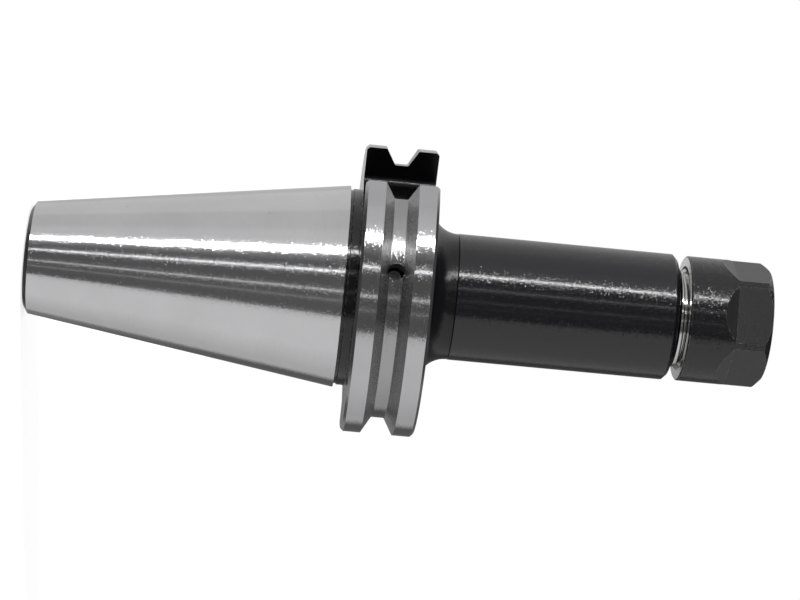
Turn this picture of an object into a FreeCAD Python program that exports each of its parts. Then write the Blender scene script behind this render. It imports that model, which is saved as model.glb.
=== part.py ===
import FreeCAD, Part

import math
import os
from types import SimpleNamespace

import Sketcher

# Collet chuck holder: a steep taper shank of size 40 with a gripper flange, a long slim
# neck and a screwed clamping nut that drives a size 16 spring collet into its seat.
# Millimetres. The holder stands on the small end of its taper: the origin is the centre
# of that end face and +Z runs along the axis towards the clamping nut. The two drive
# slots of the flange lie on -X and +X, the orientation notch on +Y.

FOLDER = "parts"
SHEET = "Sizes"

# Driving sizes, one cell each. Radial sizes are given as diameters where a drawing would
# give them so, distances "from" a face run along the axis away from that face.
DRIVING_SIZES = {
    # Steep taper 7 in 24
    "gauge_diameter": 44.45,
    "taper_length": 68.4,
    "taper_rise": 7.0,
    "taper_run": 24.0,
    "taper_overrun": 0.6,
    "end_chamfer_length": 0.75,
    "end_chamfer_depth": 1.2,
    # Run-out groove and collar between the ground taper and the flange
    "relief_width": 0.7,
    "relief_depth": 0.8,
    "collar_diameter": 43.4,
    # Gripper flange
    "flange_gap": 3.2,
    "flange_diameter": 63.55,
    "flange_width": 15.9,
    "flange_chamfer": 0.6,
    "gripper_centre": 11.1,
    "gripper_floor_diameter": 56.25,
    "gripper_floor_width": 2.86,
    "gripper_flank_angle": 30.0,
    "slot_width": 16.1,
    "slot_clearance_near": 1.1,
    "slot_clearance_far": 3.3,
    "slot_corner": 1.0,
    "notch_width": 7.0,
    "notch_floor": 28.2,
    # Neck and threaded nose
    "neck_diameter": 28.0,
    "neck_length": 54.8,
    "neck_cove": 6.0,
    "neck_chamfer": 0.9,
    "nose_diameter": 21.95,
    "nose_length": 13.7,
    "nose_chamfer": 0.8,
    "thread_gap": 0.05,
    # Drawbar end
    "pilot_diameter": 17.0,
    "pilot_depth": 8.2,
    "drawbar_core_diameter": 14.0,
    "drawbar_depth": 43.0,
    "drill_point_angle": 59.0,
    # Coolant drillings: a radial one from the gripper groove to the centre and a slanted
    # one from the flange's rear face that meets it
    "centre_drill_diameter": 7.0,
    "radial_drill_diameter": 3.5,
    "slant_drill_diameter": 4.0,
    "slant_mouth_clearance": 1.67,
    "slant_angle": 33.4,
    "drill_clocking": 52.5,
    "plug_gap": 0.03,
    "plug_length": 4.0,
    "plug_point": 0.6,
    "plug_socket": 2.0,
    "plug_socket_depth": 2.0,
    "radial_plug_radius": 20.0,
    "slant_plug_recess": 3.0,
    # Spring collet
    "collet_seat_diameter": 16.0,
    "collet_half_angle": 8.0,
    "collet_length": 27.5,
    "collet_gauge_depth": 6.26,
    "collet_ring_diameter": 17.0,
    "collet_ring_length": 2.7,
    "collet_front_angle": 30.0,
    "collet_groove_diameter": 13.8,
    "collet_groove_width": 2.0,
    "collet_bore_diameter": 6.0,
    "collet_grip_length": 18.0,
    "collet_relief_diameter": 6.8,
    "collet_bore_chamfer": 0.3,
    "collet_slit_width": 0.6,
    "collet_slit_count": 6.0,
    "collet_front_slit_end": 4.5,
    "collet_rear_slit_end": 6.5,
    "collet_gap": 0.03,
    # Chamber and length stop behind the collet
    "chamber_diameter": 10.4,
    "stop_thread_depth": 26.0,
    "stop_thread_length": 34.0,
    "stop_diameter": 10.0,
    "stop_gap": 0.05,
    "stop_length": 14.0,
    "stop_depth": 28.0,
    "stop_chamfer": 0.8,
    "stop_socket": 5.0,
    "stop_socket_depth": 5.0,
    "stop_drill_diameter": 3.0,
    # Clamping nut
    "nut_diameter": 27.8,
    "nut_length": 18.5,
    "nut_recess": 1.0,
    "nut_rear_chamfer": 0.3,
    "nut_front_chamfer_length": 1.5,
    "nut_front_chamfer_angle": 45.0,
    "nut_entry_chamfer": 0.6,
    "nut_mouth_diameter": 15.8,
    "nut_throat_diameter": 14.4,
    "nut_cone_gap": 0.05,
    "nut_clocking": -8.0,
    "hex_width": 24.8,
    "hex_length": 7.9,
    "hex_runout_angle": 27.0,
    "hex_count": 6.0,
    "lip_play": 0.25,
    "lip_thickness": 1.4,
    "lip_diameter": 15.4,
    "lip_offset": 0.55,
}


class Size:
    """A number of the sheet, or a sum or product of some, with its expression."""

    def __init__(self, value, text):
        self.value = float(value)
        self.text = text

    def combined(self, other, sign, value):
        other_text = other.text if isinstance(other, Size) else repr(other)
        return Size(value, "(%s %s %s)" % (self.text, sign, other_text))

    def __add__(self, other):
        return self.combined(other, "+", self.value + number(other))

    def __sub__(self, other):
        return self.combined(other, "-", self.value - number(other))

    def __mul__(self, other):
        return self.combined(other, "*", self.value * number(other))

    def __truediv__(self, other):
        return self.combined(other, "/", self.value / number(other))

    def __neg__(self):
        return self * -1.0


def number(size):
    """The plain number of a size or of a number."""
    return size.value if isinstance(size, Size) else float(size)


def sine(angle):
    """The sine of an angle in degrees."""
    return Size(math.sin(math.radians(angle.value)), "sin(%s)" % angle.text)


def cosine(angle):
    """The cosine of an angle in degrees."""
    return Size(math.cos(math.radians(angle.value)), "cos(%s)" % angle.text)


def tangent(angle):
    """The tangent of an angle in degrees."""
    return Size(math.tan(math.radians(angle.value)), "tan(%s)" % angle.text)


def sheet_of_sizes(document):
    """Write the driving sizes into the sheet and return them by name."""
    sheet = document.addObject("Spreadsheet::Sheet", SHEET)
    sizes = {}
    for row, (name, value) in enumerate(DRIVING_SIZES.items(), start=1):
        sheet.set("A%d" % row, name)
        sheet.set("B%d" % row, str(value))
        sheet.setAlias("B%d" % row, name)
        sizes[name] = Size(value, "%s.%s" % (SHEET, name))
    document.recompute()
    return SimpleNamespace(**sizes)


# Sketches and features


def new_body(document, name):
    """A body whose label names its file."""
    body = document.addObject("PartDesign::Body", name)
    body.Label = name
    return body


def origin_feature(body, role):
    """The plane or axis of the body's own origin with this role."""
    return next(item for item in body.Origin.OriginFeatures if item.Role == role)


def new_sketch(body, name, role, lift=None, turn=None):
    """A sketch on an origin plane, lifted off it or turned about the tool axis."""
    sketch = body.newObject("Sketcher::SketchObject", name)
    sketch.AttachmentSupport = [(origin_feature(body, role), "")]
    sketch.MapMode = "FlatFace"
    if lift is not None:
        sketch.setExpression("AttachmentOffset.Base.z", lift.text)
    if turn is not None:
        sketch.AttachmentOffset = FreeCAD.Placement(
            FreeCAD.Vector(), FreeCAD.Rotation(FreeCAD.Vector(0, 1, 0), turn.value)
        )
        sketch.setExpression("AttachmentOffset.Rotation.Angle", turn.text)
    return sketch


def hold(sketch, kind, item, point, size):
    """Hold one coordinate of a point at a size, measured from the sketch's origin."""
    if isinstance(size, Size):
        index = sketch.addConstraint(
            Sketcher.Constraint(kind, -1, 1, item, point, size.value)
        )
        sketch.setExpression("Constraints[%d]" % index, size.text)
    else:
        axis = -2 if kind == "DistanceX" else -1
        sketch.addConstraint(Sketcher.Constraint("PointOnObject", item, point, axis))


def outline(sketch, points):
    """A closed outline of straight edges; a coordinate of 0 lies on the sketch's axis."""
    corners = [FreeCAD.Vector(number(x), number(y), 0) for x, y in points]
    first = sketch.GeometryCount
    count = len(points)
    for i in range(count):
        edge = Part.LineSegment(corners[i], corners[(i + 1) % count])
        sketch.addGeometry(edge, False)
    for i in range(count):
        following = first + (i + 1) % count
        sketch.addConstraint(
            Sketcher.Constraint("Coincident", first + i, 2, following, 1)
        )
    for i, (x, y) in enumerate(points):
        hold(sketch, "DistanceX", first + i, 1, x)
        hold(sketch, "DistanceY", first + i, 1, y)


def centre_line(sketch, start, end):
    """A construction line that a profile is turned about."""
    line = Part.LineSegment(
        FreeCAD.Vector(number(start[0]), number(start[1]), 0),
        FreeCAD.Vector(number(end[0]), number(end[1]), 0),
    )
    item = sketch.addGeometry(line, True)
    for point, (x, y) in ((1, start), (2, end)):
        hold(sketch, "DistanceX", item, point, x)
        hold(sketch, "DistanceY", item, point, y)


def circle(sketch, diameter, x=0, y=0):
    """A circle about a point of the sketch."""
    centre = FreeCAD.Vector(number(x), number(y), 0)
    shape = Part.Circle(centre, FreeCAD.Vector(0, 0, 1), diameter.value / 2)
    item = sketch.addGeometry(shape, False)
    index = sketch.addConstraint(
        Sketcher.Constraint("Diameter", item, diameter.value)
    )
    sketch.setExpression("Constraints[%d]" % index, diameter.text)
    hold(sketch, "DistanceX", item, 3, x)
    hold(sketch, "DistanceY", item, 3, y)


def hexagon(sketch, width):
    """A regular hexagon about the sketch's origin, by its width across flats."""
    corner = width / (2 * math.cos(math.radians(30)))
    half = width / 2
    outline(
        sketch,
        [
            (corner, 0),
            (corner / 2, half),
            (-corner / 2, half),
            (-corner, 0),
            (-corner / 2, -half),
            (corner / 2, -half),
        ],
    )


def turned(body, kind, name, sketch, axis="V_Axis"):
    """A full turn of a sketch, as added or removed material."""
    feature = body.newObject("PartDesign::%s" % kind, name)
    feature.Profile = sketch
    feature.ReferenceAxis = (sketch, [axis])
    feature.Angle = 360
    sketch.Visibility = False
    return feature


def pocket(body, name, sketch, depth, upwards=False, both_sides=False):
    """A pocket of a sketch, down from its plane unless stated otherwise."""
    feature = body.newObject("PartDesign::Pocket", name)
    feature.Profile = sketch
    feature.Length = depth.value
    feature.setExpression("Length", depth.text)
    feature.Reversed = upwards
    feature.Midplane = both_sides
    sketch.Visibility = False
    return feature


def ring_of(body, name, feature, count):
    """Copies of a feature, evenly spaced round the tool axis."""
    pattern = body.newObject("PartDesign::PolarPattern", name)
    pattern.Originals = [feature]
    pattern.Axis = (origin_feature(body, "Z_Axis"), [""])
    pattern.Angle = 360
    pattern.Occurrences = int(number(count))
    if isinstance(count, Size):
        pattern.setExpression("Occurrences", count.text)
    body.Tip = pattern
    return pattern


def round_edges(feature, rings):
    """The names of the whole circles of a shape with these radii and heights."""
    names = []
    for i, edge in enumerate(feature.Shape.Edges, start=1):
        curve = edge.Curve
        if not isinstance(curve, Part.Circle):
            continue
        for radius, height in rings:
            same_radius = abs(curve.Radius - number(radius)) < 1e-4
            same_height = abs(curve.Center.z - number(height)) < 1e-4
            if same_radius and same_height:
                names.append("Edge%d" % i)
    return names


def dressed(body, kind, name, base, edges, property_name, size):
    """A fillet or chamfer of some edges of the feature before it."""
    feature = body.newObject("PartDesign::%s" % kind, name)
    feature.Base = (base, edges)
    setattr(feature, property_name, size.value)
    feature.setExpression(property_name, size.text)
    return feature


def heights(s):
    """Heights and radii that several pieces share."""
    slope = s.taper_rise / (s.taper_run * 2)
    gauge = s.taper_length
    flange_rear = gauge + s.flange_gap
    flange_front = flange_rear + s.flange_width
    neck_end = flange_front + s.neck_length
    nose = neck_end + s.nose_length
    collet_front = nose + s.collet_gauge_depth
    nut_front = collet_front + s.nut_recess
    return SimpleNamespace(
        slope=slope,
        gauge=gauge,
        flange_rear=flange_rear,
        flange_front=flange_front,
        gripper=gauge + s.gripper_centre,
        neck_end=neck_end,
        nose=nose,
        collet_front=collet_front,
        collet_rear=collet_front - s.collet_length,
        nut_front=nut_front,
        nut_rear=nut_front - s.nut_length,
        collar=s.collar_diameter / 2,
        slant_mouth=s.collar_diameter / 2
        + s.slant_mouth_clearance
        + s.slant_drill_diameter / 2 / sine(s.slant_angle),
    )


# Holder body


def holder_blank(body, s, at):
    """The turned outside, from the small end of the taper to the threaded nose."""
    end_radius = s.gauge_diameter / 2 - s.taper_length * at.slope
    taper_end = at.gauge + s.taper_overrun
    taper_end_radius = s.gauge_diameter / 2 + s.taper_overrun * at.slope
    sketch = new_sketch(body, "blank_profile", "XZ_Plane")
    outline(
        sketch,
        [
            (0, 0),
            (end_radius - s.end_chamfer_depth, 0),
            (end_radius + s.end_chamfer_length * at.slope, s.end_chamfer_length),
            (taper_end_radius, taper_end),
            (at.collar, taper_end),
            (at.collar, at.flange_rear),
            (s.flange_diameter / 2, at.flange_rear),
            (s.flange_diameter / 2, at.flange_front),
            (s.neck_diameter / 2, at.flange_front),
            (s.neck_diameter / 2, at.neck_end),
            (s.nose_diameter / 2, at.neck_end),
            (s.nose_diameter / 2, at.nose),
            (0, at.nose),
        ],
    )
    return turned(body, "Revolution", "blank", sketch)


def edge_breaks(document, body, blank, s, at):
    """The cove under the flange and the chamfers of flange, neck and nose."""
    document.recompute()
    flange = s.flange_diameter / 2
    cove = dressed(
        body, "Fillet", "cove", blank,
        round_edges(blank, [(s.neck_diameter / 2, at.flange_front)]),
        "Radius", s.neck_cove,
    )
    document.recompute()
    rims = dressed(
        body, "Chamfer", "flange_rims", cove,
        round_edges(cove, [(flange, at.flange_rear), (flange, at.flange_front)]),
        "Size", s.flange_chamfer,
    )
    document.recompute()
    neck = dressed(
        body, "Chamfer", "neck_rim", rims,
        round_edges(rims, [(s.neck_diameter / 2, at.neck_end)]),
        "Size", s.neck_chamfer,
    )
    document.recompute()
    dressed(
        body, "Chamfer", "thread_start", neck,
        round_edges(neck, [(s.nose_diameter / 2, at.nose)]),
        "Size", s.nose_chamfer,
    )


def gripper_groove(body, s, at):
    """The V groove that a tool changer grips, and the run-out groove of the taper."""
    floor = s.gripper_floor_diameter / 2
    rim = s.flange_diameter / 2 + s.flange_chamfer
    half_floor = s.gripper_floor_width / 2
    half_rim = half_floor + (rim - floor) * tangent(s.gripper_flank_angle)
    sketch = new_sketch(body, "gripper_profile", "XZ_Plane")
    outline(
        sketch,
        [
            (floor, at.gripper - half_floor),
            (rim, at.gripper - half_rim),
            (rim, at.gripper + half_rim),
            (floor, at.gripper + half_floor),
        ],
    )
    turned(body, "Groove", "gripper_groove", sketch)
    taper_end = at.gauge + s.taper_overrun
    relief = at.collar - s.relief_depth
    sketch = new_sketch(body, "relief_profile", "XZ_Plane")
    outline(
        sketch,
        [
            (relief, taper_end),
            (at.collar, taper_end),
            (at.collar, taper_end + s.relief_width),
            (relief, taper_end + s.relief_width),
        ],
    )
    turned(body, "Groove", "relief_groove", sketch)


def drive_slots(document, body, s, at):
    """The two drive slots through the flange, their floors clear of the collar."""
    half = s.slot_width / 2
    outside = s.flange_diameter / 2 + s.flange_chamfer
    for name, side, clearance in (
        ("near", -1.0, s.slot_clearance_near),
        ("far", 1.0, s.slot_clearance_far),
    ):
        floor = at.collar + clearance
        sketch = new_sketch(body, name + "_slot_profile", "XY_Plane", at.flange_rear)
        outline(
            sketch,
            [
                (floor * side, -half),
                (outside * side, -half),
                (outside * side, half),
                (floor * side, half),
            ],
        )
        slot = pocket(body, name + "_slot", sketch, s.flange_width, upwards=True)
        document.recompute()
        corners = []
        for i, edge in enumerate(slot.Shape.Edges, start=1):
            middle = edge.CenterOfMass
            upright = abs(edge.tangentAt(edge.FirstParameter).z) > 0.999
            on_floor = abs(middle.x - floor.value * side) < 1e-4
            on_wall = abs(abs(middle.y) - half.value) < 1e-4
            if upright and on_floor and on_wall:
                corners.append("Edge%d" % i)
        dressed(body, "Fillet", name + "_slot_corners", slot, corners, "Radius", s.slot_corner)
        document.recompute()


def orientation_notch(body, s, at):
    """The small notch in the rear rib of the flange, a quarter turn from the slots."""
    half = s.notch_width / 2
    outside = s.flange_diameter / 2 + s.flange_chamfer
    sketch = new_sketch(body, "notch_profile", "XY_Plane", at.flange_rear)
    outline(
        sketch,
        [
            (-half, s.notch_floor),
            (half, s.notch_floor),
            (half, outside),
            (-half, outside),
        ],
    )
    depth = s.gripper_centre - s.flange_gap
    return pocket(body, "orientation_notch", sketch, depth, upwards=True)


def centre_bore(body, s, at):
    """Drawbar thread and its pilot, coolant drilling, stop thread and collet seat."""
    pilot = s.pilot_diameter / 2
    core = s.drawbar_core_diameter / 2
    drill = s.centre_drill_diameter / 2
    stop = s.stop_diameter / 2 + s.stop_gap
    chamber = s.chamber_diameter / 2
    seat = s.collet_seat_diameter / 2
    point_end = s.drawbar_depth + (core - drill) / tangent(s.drill_point_angle)
    thread_top = at.nose - s.stop_thread_depth
    thread_foot = thread_top - s.stop_thread_length
    seat_foot = at.nose - (seat - chamber) / tangent(s.collet_half_angle)
    sketch = new_sketch(body, "bore_profile", "XZ_Plane")
    outline(
        sketch,
        [
            (0, 0),
            (pilot, 0),
            (pilot, s.pilot_depth),
            (core, s.pilot_depth),
            (core, s.drawbar_depth),
            (drill, point_end),
            (drill, thread_foot),
            (stop, thread_foot),
            (stop, thread_top),
            (chamber, thread_top),
            (chamber, seat_foot),
            (seat, at.nose),
            (0, at.nose),
        ],
    )
    turned(body, "Groove", "centre_bore", sketch)


def coolant_drillings(body, s, at):
    """The radial and the slanted coolant drillings, each with its twin opposite."""
    outside = s.flange_diameter / 2
    half = s.radial_drill_diameter / 2
    sketch = new_sketch(body, "radial_drill_profile", "XZ_Plane", turn=s.drill_clocking)
    outline(
        sketch,
        [(0, at.gripper), (outside, at.gripper), (outside, at.gripper + half), (0, at.gripper + half)],
    )
    centre_line(sketch, (0, at.gripper), (outside, at.gripper))
    radial = turned(body, "Groove", "radial_drilling", sketch, "Axis0")
    ring_of(body, "radial_drillings", radial, 2)

    half = s.slant_drill_diameter / 2
    run_in = s.slant_drill_diameter * 2
    depth = (at.gripper - at.flange_rear) / sine(s.slant_angle)
    along = (cosine(s.slant_angle) * -1.0, sine(s.slant_angle))
    across = (sine(s.slant_angle), cosine(s.slant_angle))
    mouth = (at.slant_mouth, at.flange_rear)
    start = (mouth[0] - along[0] * run_in, mouth[1] - along[1] * run_in)
    end = (mouth[0] + along[0] * depth, mouth[1] + along[1] * depth)
    sketch = new_sketch(body, "slant_drill_profile", "XZ_Plane", turn=s.drill_clocking)
    outline(
        sketch,
        [
            start,
            end,
            (end[0] + across[0] * half, end[1] + across[1] * half),
            (start[0] + across[0] * half, start[1] + across[1] * half),
        ],
    )
    centre_line(sketch, start, end)
    slanted = turned(body, "Groove", "slanted_drilling", sketch, "Axis0")
    ring_of(body, "slanted_drillings", slanted, 2)


def holder_body(document, s, at):
    """The holder, turned, milled and drilled from one bar."""
    body = new_body(document, "holder_body")
    blank = holder_blank(body, s, at)
    edge_breaks(document, body, blank, s, at)
    gripper_groove(body, s, at)
    drive_slots(document, body, s, at)
    orientation_notch(body, s, at)
    centre_bore(body, s, at)
    coolant_drillings(body, s, at)
    return body


# Clamping nut


def nut_blank(body, s, at):
    """The turned nut: collar, thread bore, cone for the collet and flared mouth."""
    outside = s.nut_diameter / 2
    bore = s.nose_diameter / 2 + s.thread_gap
    mouth = s.nut_mouth_diameter / 2
    throat = s.nut_throat_diameter / 2
    seat = s.collet_ring_diameter / 2 + s.nut_cone_gap * 2
    lip_blank = s.collet_groove_diameter / 2 + s.nut_cone_gap
    steep = tangent(s.collet_front_angle)
    collet_face = s.collet_ring_diameter / 2 - s.collet_ring_length * steep
    throat_height = at.collet_front - (throat - s.nut_cone_gap - collet_face) / steep
    seat_height = at.collet_front - (seat - s.nut_cone_gap - collet_face) / steep
    lip_front = at.collet_front - s.collet_ring_length - s.lip_play
    lip_rear = lip_front - s.lip_thickness
    front_chamfer = s.nut_front_chamfer_length
    front_inset = front_chamfer * tangent(s.nut_front_chamfer_angle)
    sketch = new_sketch(body, "nut_profile", "XZ_Plane")
    outline(
        sketch,
        [
            (bore + s.nut_entry_chamfer, at.nut_rear),
            (outside - s.nut_rear_chamfer, at.nut_rear),
            (outside, at.nut_rear + s.nut_rear_chamfer),
            (outside, at.nut_front - front_chamfer),
            (outside - front_inset, at.nut_front),
            (mouth, at.nut_front),
            (throat, throat_height),
            (seat, seat_height),
            (seat, lip_front),
            (lip_blank, lip_front),
            (lip_blank, lip_rear),
            (bore, lip_rear),
            (bore, at.nut_rear + s.nut_entry_chamfer),
        ],
    )
    turned(body, "Revolution", "nut_blank", sketch)
    # The extraction lip is bored off centre, so that a tilted collet snaps in behind it
    sketch = new_sketch(body, "lip_profile", "XY_Plane", lip_front)
    circle(sketch, s.lip_diameter, s.lip_offset)
    pocket(body, "lip_bore", sketch, s.lip_thickness)


def nut_flats(body, s, at):
    """The spanner flats, each with its sloping run-out into the round collar."""
    flat = s.hex_width / 2
    clear = s.nut_diameter / 2 + s.nut_front_chamfer_length
    flat_foot = at.nut_front - s.hex_length
    runout_foot = flat_foot - (clear - flat) / tangent(s.hex_runout_angle)
    above = at.nut_front + s.nut_front_chamfer_length
    sketch = new_sketch(body, "flat_profile", "XZ_Plane")
    outline(
        sketch,
        [(flat, flat_foot), (clear, runout_foot), (clear, above), (flat, above)],
    )
    flat_cut = pocket(body, "flat", sketch, s.nut_diameter, both_sides=True)
    ring_of(body, "flats", flat_cut, s.hex_count)


def clamping_nut(document, s, at):
    """The nut that presses the collet home and pulls it out again."""
    body = new_body(document, "clamping_nut")
    nut_blank(body, s, at)
    nut_flats(body, s, at)
    body.setExpression(
        "Placement",
        "placement(vector(0; 0; 0); rotation(vector(0; 0; 1); %s))" % s.nut_clocking.text,
    )
    return body


# Spring collet


def collet(document, s, at):
    """The slotted spring collet, slit from both ends in turn."""
    body = new_body(document, "collet")
    front = at.collet_front
    rear = at.collet_rear
    ring = s.collet_ring_diameter / 2
    face = ring - s.collet_ring_length * tangent(s.collet_front_angle)
    groove = s.collet_groove_diameter / 2
    ring_back = front - s.collet_ring_length
    taper_top = ring_back - s.collet_groove_width
    shallow = tangent(s.collet_half_angle)
    seat = s.collet_seat_diameter / 2 - s.collet_gap
    bore = s.collet_bore_diameter / 2
    relief = s.collet_relief_diameter / 2
    grip_foot = front - s.collet_grip_length
    sketch = new_sketch(body, "collet_profile", "XZ_Plane")
    outline(
        sketch,
        [
            (relief, rear),
            (seat - (at.nose - rear) * shallow, rear),
            (seat + (taper_top - at.nose) * shallow, taper_top),
            (groove, taper_top),
            (groove, ring_back),
            (ring, ring_back),
            (face, front),
            (bore + s.collet_bore_chamfer, front),
            (bore, front - s.collet_bore_chamfer),
            (bore, grip_foot),
            (relief, grip_foot),
        ],
    )
    turned(body, "Revolution", "collet_blank", sketch)
    outside = ring + s.collet_ring_length
    clear = s.collet_length / 2
    front_stop = rear + s.collet_front_slit_end
    rear_stop = front - s.collet_rear_slit_end
    half_step = Size(180, "180") / s.collet_slit_count
    for name, low, high, turn in (
        ("front_slit", front_stop, front + clear, None),
        ("rear_slit", rear - clear, rear_stop, half_step),
    ):
        sketch = new_sketch(body, name + "_profile", "XZ_Plane", turn=turn)
        outline(
            sketch,
            [(bore / 2, low), (outside, low), (outside, high), (bore / 2, high)],
        )
        slit = pocket(body, name, sketch, s.collet_slit_width, both_sides=True)
        ring_of(body, name + "s", slit, s.collet_slit_count)
    return body


# Set screws


def set_screw(document, name, radius, length, point, socket, socket_depth, drill=None):
    """A set screw along its own axis: socket end at 0, point end below."""
    body = new_body(document, name)
    sketch = new_sketch(body, "screw_profile", "XZ_Plane")
    corners = [
        (0, -length),
        (radius - point, -length),
        (radius, point - length),
        (radius, -(point / 2)),
        (radius - point / 2, 0),
        (0, 0),
    ]
    outline(sketch, corners)
    turned(body, "Revolution", "screw_blank", sketch)
    sketch = new_sketch(body, "socket_profile", "XY_Plane")
    hexagon(sketch, socket)
    pocket(body, "socket", sketch, socket_depth)
    if drill is not None:
        sketch = new_sketch(body, "drill_profile", "XY_Plane")
        circle(sketch, drill)
        pocket(body, "drilling", sketch, length)
    return body


def stop_screw(document, s, at):
    """The length stop behind the collet, drilled through for coolant."""
    body = set_screw(
        document, "stop_screw", s.stop_diameter / 2, s.stop_length, s.stop_chamfer,
        s.stop_socket, s.stop_socket_depth, s.stop_drill_diameter,
    )
    height = at.nose - s.stop_depth
    body.setExpression("Placement.Base.z", height.text)
    return body


def place_plug(body, radius, height, clocking, tilt):
    """Turn a plug's axis outwards at this clocking, tilted from upright."""
    body.setExpression(
        "Placement",
        "placement(vector(%s; %s; %s); rotation(vector(0; 0; 1); %s) * rotation(vector(0; 1; 0); %s))"
        % (
            (radius * cosine(clocking)).text,
            (radius * sine(clocking)).text,
            height.text,
            clocking.text,
            tilt.text,
        ),
    )


def coolant_plugs(document, s, at):
    """The set screws that close the radial and the slanted drillings."""
    plugs = []
    upright = Size(90, "90")
    for number_of_side in (1, 2):
        clocking = s.drill_clocking + 180.0 * (number_of_side - 1)
        radial = set_screw(
            document, "groove_plug_%d" % number_of_side,
            s.radial_drill_diameter / 2 - s.plug_gap, s.plug_length, s.plug_point,
            s.plug_socket, s.plug_socket_depth,
        )
        place_plug(radial, s.radial_plug_radius, at.gripper, clocking, upright)
        slanted = set_screw(
            document, "flange_plug_%d" % number_of_side,
            s.slant_drill_diameter / 2 - s.plug_gap, s.plug_length, s.plug_point,
            s.plug_socket, s.plug_socket_depth,
        )
        place_plug(
            slanted,
            at.slant_mouth - s.slant_plug_recess * cosine(s.slant_angle),
            at.flange_rear + s.slant_plug_recess * sine(s.slant_angle),
            clocking,
            upright + s.slant_angle,
        )
        plugs += [radial, slanted]
    return plugs


# The whole holder


def check(document, pieces):
    """Stop if a feature failed or a piece isn't one valid solid."""
    for item in document.Objects:
        if "Invalid" in item.State or "Error" in item.State:
            raise RuntimeError("%s failed: %s" % (item.Name, item.State))
    for piece in pieces:
        shape = piece.Shape
        if shape.isNull() or not shape.isValid() or len(shape.Solids) != 1:
            raise RuntimeError("%s isn't one valid solid" % piece.Label)


def check_cuts(body):
    """Stop if a feature that removes material of a body removed none."""
    volume = 0.0
    for item in body.Group:
        if not item.isDerivedFrom("PartDesign::Feature"):
            continue
        cuts = item.TypeId in ("PartDesign::Pocket", "PartDesign::Groove")
        if cuts and item.Shape.Volume > volume - 1e-3:
            raise RuntimeError("%s of %s cuts nothing" % (item.Name, body.Label))
        volume = item.Shape.Volume


def write(pieces):
    """Write each piece to a file of its own."""
    os.makedirs(FOLDER, exist_ok=True)
    for piece in pieces:
        piece.Shape.exportStep(os.path.join(FOLDER, piece.Label + ".step"))


def main():
    """Build the document, check it and write the pieces."""
    document = FreeCAD.newDocument("collet_chuck_holder")
    s = sheet_of_sizes(document)
    at = heights(s)
    pieces = [
        holder_body(document, s, at),
        clamping_nut(document, s, at),
        collet(document, s, at),
        stop_screw(document, s, at),
    ]
    pieces += coolant_plugs(document, s, at)
    document.recompute()
    check(document, pieces)
    for piece in pieces:
        check_cuts(piece)
        print("%s: %.1f mm3" % (piece.Label, piece.Shape.Volume))
    write(pieces)


main()
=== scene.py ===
"""Looks of the collet chuck holder: bright ground taper and flange, black neck and nut."""

import logging
import math
from dataclasses import dataclass
from enum import Enum
from typing import Callable, Iterable, Sequence

import bpy
from mathutils import Matrix, Vector


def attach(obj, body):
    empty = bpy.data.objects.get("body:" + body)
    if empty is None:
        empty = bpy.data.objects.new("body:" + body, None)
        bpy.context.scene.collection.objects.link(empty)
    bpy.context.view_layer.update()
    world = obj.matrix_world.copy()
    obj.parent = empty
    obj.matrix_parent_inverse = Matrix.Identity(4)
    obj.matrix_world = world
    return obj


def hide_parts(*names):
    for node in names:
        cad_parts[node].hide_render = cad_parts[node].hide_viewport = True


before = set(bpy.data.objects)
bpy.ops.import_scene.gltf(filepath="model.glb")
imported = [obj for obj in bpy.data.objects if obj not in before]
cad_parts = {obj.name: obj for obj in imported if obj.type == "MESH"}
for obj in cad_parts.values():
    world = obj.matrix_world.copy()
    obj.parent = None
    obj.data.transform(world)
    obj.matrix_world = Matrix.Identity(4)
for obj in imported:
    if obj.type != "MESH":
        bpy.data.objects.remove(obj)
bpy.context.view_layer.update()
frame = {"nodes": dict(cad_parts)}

LOG = logging.getLogger("holder")

MM = 0.001
MICROMETRE = 1e-6
FULL_TURN = 2.0 * math.pi
SMOOTH_ANGLE = math.radians(24.0)
FACE_WEIGHT = 80
SAME_PLACE = 1e-4
LARGE_ROUNDING = 1.0
OVERSHOOT = 4.0
MOUTH_LIFT = 0.07
WHITE = (1.0, 1.0, 1.0, 1.0)
Point = tuple[float, float]
Piece = bpy.types.Object
Socket = bpy.types.NodeSocket


# Bench work, all in millimetres until a piece is finished


@dataclass(frozen=True)
class Corner:
    """A corner of a turned outline: distance from the axis, height and rounding radius."""

    r: float
    z: float
    rounding: float = 0.0


def corners(*triples: Sequence[float]) -> list[Corner]:
    """Corners from their radii, heights and roundings."""
    return [Corner(*triple) for triple in triples]


def rounded(outline: Sequence[Corner], closed: bool = True, steps: int = 4) -> list[Point]:
    """Replace each rounded corner of an outline by an arc.

    Args:
        outline: the corners in order.
        closed: whether the last corner joins the first.
        steps: the number of chords of a small rounding; large ones get more.

    Returns:
        The points of the outline.
    """
    points: list[Point] = []
    places = [Vector((corner.r, corner.z)) for corner in outline]
    count = len(outline)
    for i, (corner, here) in enumerate(zip(outline, places)):
        at_end = not closed and i in (0, count - 1)
        if corner.rounding <= 0.0 or at_end:
            points.append((corner.r, corner.z))
            continue
        before = places[i - 1] - here
        after = places[(i + 1) % count] - here
        half = before.angle(after) / 2.0
        reach = corner.rounding / math.tan(half)
        centre = here + (before.normalized() + after.normalized()).normalized() * (
            corner.rounding / math.sin(half)
        )
        start = here + before.normalized() * reach - centre
        end = here + after.normalized() * reach - centre
        turn = start.angle_signed(end)
        chords = steps if corner.rounding < LARGE_ROUNDING else steps * 3
        for k in range(chords + 1):
            spoke = start.copy()
            spoke.rotate(Matrix.Rotation(-turn * k / chords, 2))
            points.append((centre.x + spoke.x, centre.y + spoke.y))
    return points


def mode(kind: str) -> None:
    """Enter object mode or edit mode."""
    bpy.ops.object.mode_set(mode=kind)


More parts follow.
